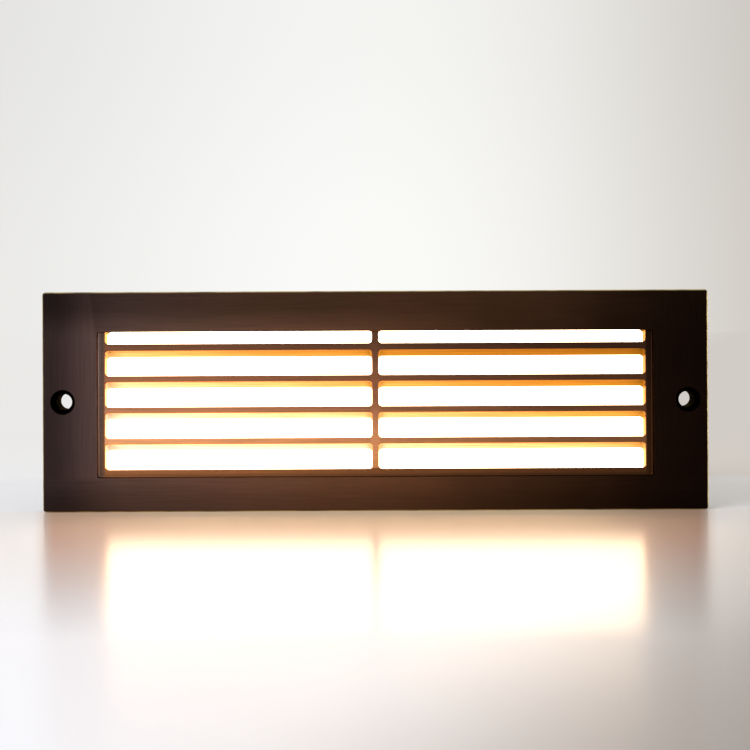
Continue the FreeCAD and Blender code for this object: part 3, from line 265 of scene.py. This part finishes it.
    # painted light and shade on the ledge at both ends of the slots: darker than the blades, lighter on the
    # left than on the right, with a painted highlight along the recess on the left
    onRight = addNode(tree, "MapRange", (axes["X"], -50 * mm, 50 * mm), **smooth)
    ledge = addNode(tree, "Mix",
                    {0: onRight, 6: spread(tree, axes["Z"], top, sill, *bronze["leftLedge"]),
                     7: spread(tree, axes["Z"], top, sill, *bronze["rightLedge"])}, **inColour)
    ledgeHighlightMask = times(tree, addNode(tree, "MapRange", (axes["X"], 1.3 * mm - side, 0.9 * mm - side), **smooth),
                  addNode(tree, "MapRange", (axes["X"], -side, 0.3 * mm - side), **smooth))
    ledge = addNode(tree, "Mix",
                    {0: ledgeHighlightMask, 6: ledge, 7: spread(tree, axes["Z"], top, sill, *bronze["paintedLedgeHighlight"])},
                    **inColour)
    blades = addNode(tree, "Mix",
                     {0: addNode(tree, "MapRange", (across, slotEnd, slotEnd + 0.5 * mm), **smooth),
                      6: blades, 7: ledge}, **inColour)
    blades = darken(tree, blades,
                    addNode(tree, "MapRange", (barStreak, *noiseRange, *bronze["streakShade"]), **smooth))
    depth = addNode(tree, "Math", (axes["Y"], plateFront + bronze["recessDepth"]), operation="SUBTRACT")
    inside = times(tree, addNode(tree, "MapRange", (across, side + 0.1 * mm, side - 0.3 * mm), **smooth),
                   addNode(tree, "MapRange", (axes["Z"], foot - 0.1 * mm, foot + 0.1 * mm), **smooth),
                   addNode(tree, "MapRange", (axes["Z"], top + 0.1 * mm, top - 0.1 * mm), **smooth))
    colour = addNode(tree, "Mix",
                     {0: times(tree, addNode(tree, "MapRange", (depth, -0.5 * mm, -0.1 * mm), **smooth),
                               inside), 6: colour, 7: blades}, **inColour)

    # brass shows inside the slots, with painted light brightest at the lower left and painted shade at their
    # ends and beside the upright
    fall = addNode(tree, "Math",
                   (times(tree, axes["Z"], 1 / bronze["slotFall"]),
                    times(tree, axes["X"], 1 / bronze["slotReach"])))
    brass = spread(tree, fall, *bronze["slotRange"], *bronze["slotBrassPaintedLight"])
    nearEnd = times(tree, addNode(tree, "MapRange", (across, slotEnd - 7 * mm, slotEnd - 1 * mm), **smooth),
                    addNode(tree, "MapRange", (across, slotEnd - 0.1 * mm, slotEnd - 0.3 * mm), **smooth))
    brass = darken(tree, brass, addNode(tree, "Mix", {0: nearEnd, 2: 1.0, 3: bronze["slotEndPaintedShade"]}))
    brass = darken(tree, brass,
                   addNode(tree, "MapRange",
                           (across, halfUpright, halfUpright + 3.2 * mm, *bronze["paintedShadeBesideUpright"]),
                           **smooth))
    scores = grain(tree, place, bronze["scoreWidth"], (50, 1, 1), 3.0)
    brass = darken(tree, brass,
                   addNode(tree, "MapRange", (scores, *noiseRange, *bronze["scoreShade"]), **smooth))
    colour = addNode(tree, "Mix",
                     {0: times(tree, addNode(tree, "MapRange", (depth, 0.2 * mm, 0.7 * mm), **smooth),
                               inside), 6: colour, 7: brass}, **inColour)

    # the back is as it was cast
    sand = grain(tree, place, 0.5 * mm, detail=4.0)
    isBack = addNode(tree, "MapRange", (axes["Y"], -1.6 * mm, -0.6 * mm), **smooth)
    colour = addNode(tree, "Mix",
                     {0: isBack, 6: colour,
                      7: addNode(tree, "Mix", {0: sand, 6: bronze["castBack"][0], 7: bronze["castBack"][1]},
                                 **inColour)}, **inColour)

    # painted shade: the wall holes are black inside
    fromHole = fromAxis(tree, addNode(tree, "Math", (across, bronze["holeSpacing"]), operation="SUBTRACT"),
                        axes["Z"])
    inHole = times(tree,
                   addNode(tree, "MapRange",
                           (fromHole, bronze["holeRadius"] + 0.2 * mm, bronze["holeRadius"]), **smooth),
                   addNode(tree, "MapRange", (axes["Y"], plateFront + 0.1 * mm, plateFront + 0.5 * mm),
                           **smooth))
    colour = addNode(tree, "Mix", {0: inHole, 6: colour, 7: bronze["holeShade"]}, **inColour)

    rough = addNode(tree, "MapRange", (streak, *noiseRange, *bronze["roughness"]), **smooth)
    rough = addNode(tree, "Mix", {0: isBack, 2: rough, 3: 0.7})
    rough = addNode(tree, "Mix", {0: inHole, 2: rough, 3: 0.92})
    setLinks(tree, shader, Base_Color=colour, Roughness=rough,
             Normal=addNode(tree, "Bump",
                            {"Height": addNode(tree, "Mix", {0: isBack, 2: streak, 3: sand}),
                             "Distance": 0.012 * mm}))
    return material


dress(bronzedBrass(), "faceplate")
print("faceplate done")


# the lens and its light

lens = {"glow": "#ffdcb2", "strength": 9.0, "frost": 0.35 * mm}


def frostedGlass():
    # float glass, sandblasted on its back: an even white glow with a fine sparkle at the surface
    material, tree, shader, place = newMaterial(
        "sandblasted_glass", Roughness=0.5, IOR=1.52, Emission_Color=linearColour(lens["glow"]),
        Emission_Strength=lens["strength"])
    frost = grain(tree, place, lens["frost"], detail=3.0)
    setLinks(tree, shader,
             Base_Color=addNode(tree, "Mix", {0: frost, 6: "#e9efea", 7: "#f8fbf8"}, **inColour),
             Roughness=addNode(tree, "MapRange", (frost, *noiseRange, 0.42, 0.6), **smooth),
             Normal=addNode(tree, "Bump", {"Height": frost, "Distance": 0.01 * mm}))
    return material


dress(frostedGlass(), "lens")


# castings, sheet and fasteners

casting = {
    "flow": ("#979898", "#a7a8a7"),
    "flowSize": 22 * mm,           # streaks where the metal filled the die
    "skin": "#7d7e7e",
    "skinShare": 0.35,
    "skinSize": 0.6 * mm,          # the marks that the shot leaves
    "skinDepth": 0.06 * mm,
    "roughness": (0.54, 0.62),
}


def castAluminium():
    # pressure die-cast aluminium, shot-blasted: a soft grey with flow marks and a sandy skin
    material, tree, shader, place = newMaterial("die_cast_aluminium", Metallic=1.0)
    skin = grain(tree, place, casting["skinSize"], detail=4.0)
    flow = grain(tree, place, casting["flowSize"], (2.2, 1, 1), 3.0)
    inFlow = addNode(tree, "MapRange", (flow, *noiseRange), **smooth)
    colour = addNode(tree, "Mix", {0: inFlow, 6: casting["flow"][0], 7: casting["flow"][1]}, **inColour)
    skinMarks = times(tree, skin, casting["skinShare"])
    colour = addNode(tree, "Mix", {0: skinMarks, 6: colour, 7: casting["skin"]}, **inColour)
    setLinks(tree, shader, Base_Color=colour,
             Roughness=addNode(tree, "MapRange", (flow, *noiseRange, *casting["roughness"]), **smooth),
             Normal=addNode(tree, "Bump", {"Height": skin, "Distance": casting["skinDepth"]}))
    return material


lathe = {
    "ring": 0.25 * mm,             # tool marks are near 0.1 mm; drawn coarser so that they show
    "ringDepth": 0.012 * mm,
    "ringShare": 0.3,
    "ringRoughness": 0.14,         # how much rougher its ridges are than its grooves
    "patch": 3 * mm,
}


def turnedMetal(name, light, dark, roughness, middle=None):
    # bar stock turned on a lathe: fine rings of light and dark and faint cloudy patches
    material, tree, shader, place = newMaterial(name, Metallic=1.0)
    patch = grain(tree, place, lathe["patch"], detail=3.0)
    stretch = (6, 1, 6)
    if middle:
        # the rings run round this axis of the lathe
        axes = addNode(tree, "SeparateXYZ", (place,), None).outputs
        radius = fromAxis(tree, addNode(tree, "Math", (axes["X"], middle.x), operation="SUBTRACT"),
                          addNode(tree, "Math", (axes["Z"], middle.z), operation="SUBTRACT"))
        place = addNode(tree, "CombineXYZ", {"X": radius, "Y": axes["Y"]})
        stretch = (3, 1, 1)
    ring = grain(tree, place, lathe["ring"], stretch, 2.0)
    inPatch = addNode(tree, "MapRange", (patch, *noiseRange, 0.6, 1.0), **smooth)
    colour = addNode(tree, "Mix", {0: inPatch, 6: dark, 7: light}, **inColour)
    colour = addNode(tree, "Mix", {0: times(tree, ring, lathe["ringShare"]), 6: colour, 7: dark}, **inColour)
    ridge = roughness + lathe["ringRoughness"]
    setLinks(tree, shader, Base_Color=colour,
             Roughness=addNode(tree, "MapRange", (ring, *noiseRange, roughness, ridge), **smooth),
             Normal=addNode(tree, "Bump", {"Height": ring, "Distance": lathe["ringDepth"]}))
    return material


sheet = {
    "line": ("#a3a5a6", "#c9cbcb"),
    "lineWidth": 0.35 * mm,        # rolling lines are finer; drawn coarser so that they show
    "lineDepth": 0.01 * mm,
    "patch": "#8c8e90",
    "patchSize": 16 * mm,
    "patchShare": 0.3,
    "roughness": (0.3, 0.46),
}


def rolledAluminium():
    # mill-finish sheet: long rolling lines and a dull silver face
    material, tree, shader, place = newMaterial("mill_finish_aluminium", Metallic=1.0)
    line = grain(tree, place, sheet["lineWidth"], (70, 1, 1), 3.0)
    patch = grain(tree, place, sheet["patchSize"], detail=3.0)
    inLine = addNode(tree, "MapRange", (line, *noiseRange), **smooth)
    colour = addNode(tree, "Mix", {0: inLine, 6: sheet["line"][0], 7: sheet["line"][1]}, **inColour)
    inPatch = times(tree, patch, sheet["patchShare"])
    colour = addNode(tree, "Mix", {0: inPatch, 6: colour, 7: sheet["patch"]}, **inColour)
    setLinks(tree, shader, Base_Color=colour,
             Roughness=addNode(tree, "MapRange", (line, *noiseRange, *sheet["roughness"]), **smooth),
             Normal=addNode(tree, "Bump", {"Height": line, "Distance": sheet["lineDepth"]}))
    return material


dress(castAluminium(), "housing")
dress(turnedMetal("stainless_steel", "#c9c7c2", "#8d8b87", 0.24), "body_screws")
dress(turnedMetal("zinc_plated_steel", "#c4ccd2", "#8c95a0", 0.3), "carrier_screws", "led_board_screws",
      "driver_screws", "terminal_block_screw", "terminal_clamp_screws")
dress(turnedMetal("plain_brass", "#d8b05e", "#9a7434", 0.26), "earth_screw")
dress(turnedMetal("tinned_copper", "#c8c5bd", "#93908a", 0.34), "earth_ring_terminal")
glandMiddle = sum(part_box("gland_nut"), Vector()) / 2
dress(turnedMetal("nickel_plated_brass", "#cdc8bd", "#a8a399", 0.22, glandMiddle), "gland_body",
      "gland_locknut", "gland_nut")
dress(rolledAluminium(), "carrier_plate")
print("metals done")


# rubbers and plastics

moulding = {
    "driftSize": 9 * mm,
    "sparkShare": 0.25,
    "sparkRoughness": 0.12,        # how much rougher the texture's peaks are than its pits
}


def mouldedPlastic(name, light, dark, roughness, texture=0.25 * mm, relief=0.015 * mm, coat=0.0):
    # injection moulded: a spark-eroded texture over slow drifts of shade where the melt flowed
    material, tree, shader, place = newMaterial(name, IOR=1.5, Coat_Weight=coat)
    spark = grain(tree, place, texture, detail=3.0)
    drift = grain(tree, place, moulding["driftSize"], detail=2.0)
    inDrift = addNode(tree, "MapRange", (drift, *noiseRange), **smooth)
    colour = addNode(tree, "Mix", {0: inDrift, 6: dark, 7: light}, **inColour)
    inSpark = times(tree, spark, moulding["sparkShare"])
    colour = addNode(tree, "Mix", {0: inSpark, 6: colour, 7: dark}, **inColour)
    peak = roughness + moulding["sparkRoughness"]
    setLinks(tree, shader, Base_Color=colour,
             Roughness=addNode(tree, "MapRange", (spark, *noiseRange, roughness, peak), **smooth),
             Normal=addNode(tree, "Bump", {"Height": spark, "Distance": relief}))
    return material


dress(mouldedPlastic("silicone_rubber", "#c9c5bd", "#a9a59c", 0.5, 0.4 * mm), "front_gasket", "rear_gasket")
dress(mouldedPlastic("black_rubber", "#242322", "#131212", 0.6, 0.3 * mm, 0.02 * mm), "lead_grommet",
      "gland_washer", "gland_seal")
dress(mouldedPlastic("white_polycarbonate", "#f3f2ee", "#e4e2dc", 0.28, 0.6 * mm, 0.008 * mm), "reflector")
dress(mouldedPlastic("white_nylon", "#ece9df", "#d8d4c6", 0.38), "board_connector", "terminal_block")
dress(mouldedPlastic("black_polycarbonate", "#26272a", "#17181a", 0.42, 0.35 * mm, 0.03 * mm), "driver_case")
dress(mouldedPlastic("grey_thermal_pad", "#8b8f93", "#6c7074", 0.75, 0.5 * mm), "thermal_pad")
dress(mouldedPlastic("potting_compound", "#2b2a28", "#1a1918", 0.16, 2.5 * mm, 0.1 * mm), "driver_potting")


sleeve = {
    "dieLine": 0.3 * mm,
    "lineDepth": 0.01 * mm,
    "stripe": 1.1 * mm,            # the second colour comes back at twice this
    "stripeEdge": (0.5 * mm, 0.6 * mm),
    "roughness": (0.3, 0.42),
}


def leadSleeve(name, light, dark, stripe=None):
    # extruded PVC sleeve: a soft gloss with fine lines from the die, and a second colour on an earth lead
    material, tree, shader, place = newMaterial(name, IOR=1.53)
    die = grain(tree, place, sleeve["dieLine"], (8, 1, 1), 2.0)
    inLine = addNode(tree, "MapRange", (die, *noiseRange), **smooth)
    colour = addNode(tree, "Mix", {0: inLine, 6: dark, 7: light}, **inColour)
    if stripe:
        height = addNode(tree, "SeparateXYZ", (place,), "Z")
        band = addNode(tree, "Math", (height, sleeve["stripe"]), operation="PINGPONG")
        inStripe = addNode(tree, "MapRange", (band, *sleeve["stripeEdge"]), **smooth)
        colour = addNode(tree, "Mix", {0: inStripe, 6: colour, 7: stripe}, **inColour)
    setLinks(tree, shader, Base_Color=colour,
             Roughness=addNode(tree, "MapRange", (die, *noiseRange, *sleeve["roughness"]), **smooth),
             Normal=addNode(tree, "Bump", {"Height": die, "Distance": sleeve["lineDepth"]}))
    return material


dress(leadSleeve("green_lead_sleeve", "#3f8a3c", "#2f6f2f", "#d8c93a"), "earth_lead")
dress(leadSleeve("red_lead_sleeve", "#b3261e", "#8f1c16"), "led_lead_positive")
dress(leadSleeve("black_lead_sleeve", "#262524", "#161515"), "led_lead_negative")
dress(leadSleeve("brown_lead_sleeve", "#6d4023", "#53301a"), "driver_live_lead")
dress(leadSleeve("blue_lead_sleeve", "#2b62a8", "#204c86"), "driver_neutral_lead")
print("rubbers and plastics done")


# the boards and the light sources

board = {
    "railPitch": 2.25 * mm,        # half the distance between tracks along the board
    "railEdge": (1.7 * mm, 1.6 * mm),
    "crossPitch": 6 * mm,          # and across it
    "crossEdge": (0.5 * mm, 0.4 * mm),
    "copper": 0.03 * mm,
    "weaveSize": 0.5 * mm,
    "weaveShare": 0.25,
    "roughness": (0.25, 0.36),
}


def circuitBoard(name, mask, track, laminate):
    # glass-epoxy board under a glossy solder mask, with copper tracks that show through it
    material, tree, shader, place = newMaterial(name, IOR=1.5, Coat_Weight=0.4, Coat_Roughness=0.12)
    axes = addNode(tree, "SeparateXYZ", (place,), None).outputs
    rail = addNode(tree, "Math", (axes["Z"], board["railPitch"]), operation="PINGPONG")
    cross = addNode(tree, "Math", (axes["X"], board["crossPitch"]), operation="PINGPONG")
    onRail = addNode(tree, "MapRange", (rail, *board["railEdge"]), **smooth)
    onCross = addNode(tree, "MapRange", (cross, *board["crossEdge"]), **smooth)
    onTrack = addNode(tree, "Math", (onRail, onCross), operation="MAXIMUM")
    weave = grain(tree, place, board["weaveSize"], detail=2.0)
    colour = addNode(tree, "Mix", {0: onTrack, 6: mask, 7: track}, **inColour)
    inWeave = times(tree, weave, board["weaveShare"])
    colour = addNode(tree, "Mix", {0: inWeave, 6: colour, 7: laminate}, **inColour)
    setLinks(tree, shader, Base_Color=colour,
             Roughness=addNode(tree, "MapRange", (weave, *noiseRange, *board["roughness"]), **smooth),
             Normal=addNode(tree, "Bump", {"Height": onTrack, "Distance": board["copper"]}))
    return material


def ledPhosphor():
    # a yellow phosphor window in a white package, lit from below
    material, tree, shader, place = newMaterial(
        "led_phosphor", Roughness=0.35, IOR=1.5, Emission_Color=linearColour("#ffd9a0"),
        Emission_Strength=2.0)
    speck = grain(tree, place, 0.2 * mm, detail=3.0)
    setLinks(tree, shader,
             Base_Color=addNode(tree, "Mix", {0: speck, 6: "#f0c846", 7: "#f7e08a"}, **inColour),
             Normal=addNode(tree, "Bump", {"Height": speck, "Distance": 0.01 * mm}))
    return material


dress(circuitBoard("white_circuit_board", "#eceae4", "#dfdcd3", "#cfccc2"), "led_board")
dress(circuitBoard("green_circuit_board", "#1f6b3a", "#2f8a4c", "#17502b"), "driver_circuit_board")
dress(ledPhosphor(), "led_packages")
print("boards done")


# stage, light and camera

shot = {
    "distance": 440.9 * mm,        # in front of the plate's face, from its size in the photograph
    "eyeHeight": 27 * mm,          # above the middle of the plate
    "lens": 60,
    "horizonShift": -0.0675,
    "roll": 0.28,                  # the photograph rises a little to the right
}

stage = {
    "half": 8.0,                    # half the floor's side
    "farEdge": (72 * mm, 98 * mm),    # behind this the floor is paler
    "floorEnd": (60 * mm, 400 * mm),    # it turns into the backdrop between these
    # painted shade on the floor
    "floor": ("#f7f8fb", "#fafafa", "#c8c3be", "#9f9890"),   # to the front right, where it dims
    "farFloor": ("#ffffff", "#ebe3db"),     # left to right
    "dimSlant": 0.6,                # the floor dims to the right, and this much towards the front
    "dimSpan": (100 * mm, 220 * mm),
    "dimEnd": (230 * mm, 400 * mm),     # past what the photograph shows it is pale again
    # painted warm light, a painted reflection of the plate's ends and painted light beside the plate
    "paintedWarmLight": ("#ffe7be", "#f8d8c0", "#f8e8dc", "#ffffff"),  # outwards from the plate's foot
    "paintedEndReflection": "#e9dadd",
    "paintedSideLight": "#f9f5f0",        # on both sides of the plate
    "warmReach": 165 * mm,
    "gloss": (0.5, 0.01),           # near the plate, and further to the front
    "glossEnd": (110 * mm, 182 * mm),   # the lacquer dulls between these distances from the plate
    "backdrop": ("#e8e7e5", "#f5f5f3", "#fefefc", "#f3f2ee", "#c9c3bc"),
    "roughness": 0.22,
    "warmSlope": 0.27,              # the warm area narrows by this towards the front
    "warmDim": (1.0, 0.76),         # from its middle to its right end
    "footReach": 45 * mm,           # the gloss is weaker this near to the plate
    "footGloss": (0.3, 1.0),
    "paperWidth": (-0.3, 0.3),      # directions across, from the backdrop's first colour to its last
    "paperHeight": (0.03, 0.26),    # directions upwards, between which it dims
    "paperDim": (1.0, 0.94),
    "light": "#fbf8f4",
    "lightLevel": 0.5,
}


def backdropColour(tree, direction):
    # painted light and shade on the paper: brightest in the middle, dimming to the right and upwards
    axes = addNode(tree, "SeparateXYZ", (direction,), None).outputs
    colour = spread(tree, axes["X"], *stage["paperWidth"], *stage["backdrop"])
    return darken(tree, colour,
                  addNode(tree, "MapRange", (axes["Z"], *stage["paperHeight"], *stage["paperDim"]),
                          **smooth))


def shownRay(tree):
    ray = addNode(tree, "LightPath", output=None).outputs
    seen = addNode(tree, "Math", (ray["Is Camera Ray"], ray["Is Glossy Ray"]), operation="MAXIMUM")
    return addNode(tree, "Math", (seen, ray["Is Transmission Ray"]), operation="MAXIMUM")


def makeFloor():
    bm = bmesh.new()
    bmesh.ops.create_grid(bm, x_segments=1, y_segments=1, size=stage["half"])
    bmesh.ops.translate(bm, verts=bm.verts, vec=(0, 0, cadBox[0].z))
    mesh = bpy.data.meshes.new("floor")
    bm.to_mesh(mesh)
    bm.free()
    floor = bpy.data.objects.new("floor", mesh)
    scene.collection.objects.link(floor)
    material, tree, shader, place = newMaterial("pale_lacquered_floor", Roughness=stage["roughness"], IOR=1.5)
    axes = addNode(tree, "SeparateXYZ", (place,), None).outputs
    frontRight = addNode(tree, "Math", (axes["X"], times(tree, axes["Y"], stage["dimSlant"])),
                         operation="SUBTRACT")
    ahead = addNode(tree, "Math", (plateFront, axes["Y"]), operation="SUBTRACT")
    # a painted pool of warm light in front of the plate, narrower towards the front and deeper on the right,
    # with a painted reflection of the plate's dark ends and painted warm light on both sides
    reach = addNode(tree, "Math",
                    (addNode(tree, "Math", (axes["X"],), operation="ABSOLUTE"),
                     times(tree, ahead, stage["warmSlope"])))
    underPlate = times(tree,
                       addNode(tree, "MapRange", (reach, halfPlate + 4 * mm, halfPlate - 4 * mm), **smooth),
                       addNode(tree, "MapRange", (ahead, -6 * mm, 0.0), **smooth))
    paintedWarmLight = spread(tree, ahead, 0.0, stage["warmReach"], *stage["paintedWarmLight"])
    paintedWarmLight = darken(tree, paintedWarmLight,
                    addNode(tree, "MapRange", (axes["X"], 50 * mm, halfPlate, *stage["warmDim"]), **smooth))
    toEnd = addNode(tree, "MapRange",
                    (addNode(tree, "Math", (axes["X"],), operation="ABSOLUTE"), 60 * mm, halfPlate),
                    **smooth)
    paintedWarmLight = addNode(tree, "Mix",
                     {0: toEnd, 6: paintedWarmLight,
                      7: addNode(tree, "Mix", {0: 1.0, 6: paintedWarmLight, 7: stage["paintedEndReflection"]},
                                 blend_type="MULTIPLY", **inColour)}, **inColour)
    beside = times(tree, addNode(tree, "MapRange", (ahead, -6 * mm, 0.0), **smooth),
                   addNode(tree, "MapRange", (ahead, stage["warmReach"], 60 * mm), **smooth))
    tint = addNode(tree, "Mix",
                   {0: underPlate,
                    6: addNode(tree, "Mix", {0: beside, 6: "#ffffff", 7: stage["paintedSideLight"]}, **inColour),
                    7: paintedWarmLight}, **inColour)
    # painted shade: the floor dims towards the front right, and is pale again past it
    plain = spread(tree, frontRight, *stage["dimSpan"], *stage["floor"])
    plain = addNode(tree, "Mix",
                    {0: addNode(tree, "MapRange", (frontRight, *stage["dimEnd"]), **smooth), 6: plain,
                     7: stage["floor"][0]}, **inColour)
    colour = addNode(tree, "Mix", {0: 1.0, 6: plain, 7: tint}, blend_type="MULTIPLY", **inColour)
    # painted shade: the far floor is darker to the right
    farFloor = addNode(tree, "Mix",
                       {0: addNode(tree, "MapRange", (axes["X"], -1.5 * halfPlate, 1.5 * halfPlate),
                                   **smooth), 6: stage["farFloor"][0], 7: stage["farFloor"][1]}, **inColour)
    colour = addNode(tree, "Mix",
                     {0: addNode(tree, "MapRange", (axes["Y"], *stage["farEdge"]), **smooth), 6: colour,
                      7: farFloor}, **inColour)
    gloss = addNode(tree, "MapRange", (ahead, *stage["glossEnd"], *stage["gloss"]), **smooth)
    gloss = times(tree, gloss,
                  addNode(tree, "MapRange",
                          (addNode(tree, "Math", (ahead,), operation="ABSOLUTE"), 0.0, stage["footReach"],
                           *stage["footGloss"]), **smooth))
    setLinks(tree, shader, Base_Color=colour, Specular_IOR_Level=gloss)
    # far behind the plate the floor turns into the backdrop, so that no horizon shows; its colour goes
    # by the direction from the part's middle, so it stays in place in every view
    direction = addNode(tree, "VectorMath", (place,), operation="NORMALIZE")
    paper = addNode(tree, "Emission", {"Color": backdropColour(tree, direction)})
    shown = addNode(tree, "Math",
                    (addNode(tree, "MapRange", (axes["Y"], *stage["floorEnd"]), **smooth), shownRay(tree)),
                    operation="MULTIPLY")
    mixed = addNode(tree, "MixShader", (shown, shader.outputs[0], paper))
    tree.links.new(mixed, tree.nodes["Material Output"].inputs["Surface"])
    mesh.materials.append(material)


def makeWorld():
    # the backdrop shows to the camera and in gloss; what lights the object is a plain level
    world = bpy.data.worlds.new("studio")
    scene.world = world
    world.use_nodes = True
    tree = world.node_tree
    tree.nodes.clear()
    direction = addNode(tree, "TexCoord", output="Generated")
    shown = addNode(tree, "Background", {"Color": backdropColour(tree, direction)})
    light = addNode(tree, "Background", {"Color": stage["light"], "Strength": stage["lightLevel"]})
    mixed = addNode(tree, "MixShader", (shownRay(tree), light, shown))
    addNode(tree, "OutputWorld", {"Surface": mixed}, None)


lamps = {
    "window": {"place": (-0.75, -0.55, 0.55), "size": 0.9, "power": 10.0, "colour": "#f4f6ff"},
    "doorway": {"place": (1.0, -0.16, 0.12), "size": 0.4, "power": 5.0, "colour": "#fff6ec"},
}


def makeLamps():
    for name, values in lamps.items():
        lamp = bpy.data.lights.new(name, "AREA")
        lamp.size = values["size"]
        lamp.energy = values["power"]
        lamp.color = linearColour(values["colour"])[:3]
        holder = bpy.data.objects.new(name, lamp)
        holder.location = values["place"]
        holder.rotation_euler = (-Vector(values["place"])).to_track_quat("-Z", "Y").to_euler()
        scene.collection.objects.link(holder)


def makeCamera():
    camera = bpy.data.cameras.new("camera")
    camera.lens = shot["lens"]
    camera.shift_y = shot["horizonShift"]
    holder = bpy.data.objects.new("camera", camera)
    holder.location = (0, plateFront - shot["distance"], shot["eyeHeight"])
    holder.rotation_euler = (math.radians(90), math.radians(shot["roll"]), 0)
    scene.collection.objects.link(holder)
    scene.camera = holder


makeFloor()
makeWorld()
makeLamps()
makeCamera()
scene.view_settings.view_transform = "Standard"
print("stage, lights and camera done")
